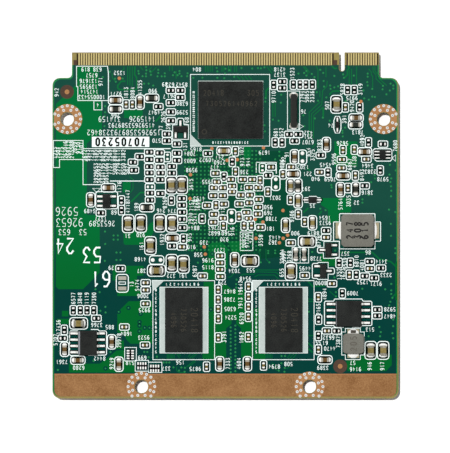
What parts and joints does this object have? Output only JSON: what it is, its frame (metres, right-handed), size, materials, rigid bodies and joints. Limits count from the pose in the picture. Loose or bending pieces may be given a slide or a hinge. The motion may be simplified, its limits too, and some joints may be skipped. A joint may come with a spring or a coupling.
{
  "type": "system on module",
  "caption": "Square computer module with a card-edge connector tongue, memory packages, power inductors and chip parts on both faces.",
  "frame": {"origin": "middle of the module's footprint, on the plane that the processor's lid rests on", "axes": "+Z out of the seen face of the board, +Y along the board towards the contact tongue, +X across it to the side of the key slot"},
  "size_m": [0.07, 0.07, 0.0055],
  "materials": {
    "solder_mask": "green lacquer over copper and glass-fibre laminate",
    "laminate": "bare glass-fibre laminate",
    "gold": "hard gold plate",
    "copper": "bare copper with a clear finish",
    "solder": "bright solder",
    "print_white": "white printed ink",
    "black_mould": "matt moulding compound",
    "green_carrier": "green package carrier",
    "plated_lid": "nickel-plated metal, satin",
    "grey_ferrite": "matt pressed iron powder",
    "silver_end": "dipped and tinned",
    "tan_ceramic": "fired ceramic, satin",
    "brown_ceramic": "fired ceramic, satin",
    "dark_ceramic": "glazed resistor coat"
  },
  "bodies": {
    "root": {"circuit_board": "solder_mask", "flash_memory": "black_mould", "memory_left_upper": "black_mould", "memory_right_upper": "black_mould", "memory_left_lower": "black_mould", "memory_right_lower": "black_mould", "processor_base": "green_carrier", "processor_lid": "plated_lid", "power_manager": "black_mould", "network_chip": "black_mould", "clock_crystal_1": "plated_lid", "clock_crystal_2": "plated_lid", "watch_crystal": "black_mould", "power_coil_large": "grey_ferrite", "power_coil_small": "grey_ferrite", "buck_coil_1": "grey_ferrite", "buck_coil_2": "grey_ferrite", "buck_coil_3": "grey_ferrite", "boot_chip_left": "black_mould", "boot_chip_right": "black_mould", "transistor_upper": "black_mould", "transistor_middle": "black_mould", "transistor_lower": "black_mould", "regulator_five_lead": "black_mould", "switch_six_lead": "black_mould", "diode_flat": "black_mould", "diode_small": "black_mould", "capacitor_01": "tan_ceramic", "capacitor_02": "tan_ceramic", "capacitor_03": "tan_ceramic", "capacitor_04": "tan_ceramic", "capacitor_05": "tan_ceramic", "capacitor_06": "tan_ceramic", "capacitor_07": "tan_ceramic", "capacitor_08": "tan_ceramic", "capacitor_09": "tan_ceramic", "capacitor_10": "tan_ceramic", "capacitor_11": "tan_ceramic", "capacitor_12": "tan_ceramic", "capacitor_13": "tan_ceramic", "capacitor_14": "tan_ceramic", "capacitor_15": "tan_ceramic", "capacitor_16": "tan_ceramic", "capacitor_17": "tan_ceramic", "bulk_capacitor_1": "tan_ceramic", "bulk_capacitor_2": "tan_ceramic", "bulk_capacitor_3": "tan_ceramic", "bulk_capacitor_4": "tan_ceramic", "bead_left": "silver_end", "bead_right": "silver_end", "resistor_array_1": "dark_ceramic", "resistor_array_2": "dark_ceramic", "resistor_array_3": "dark_ceramic"}
  },
  "joints": []
}
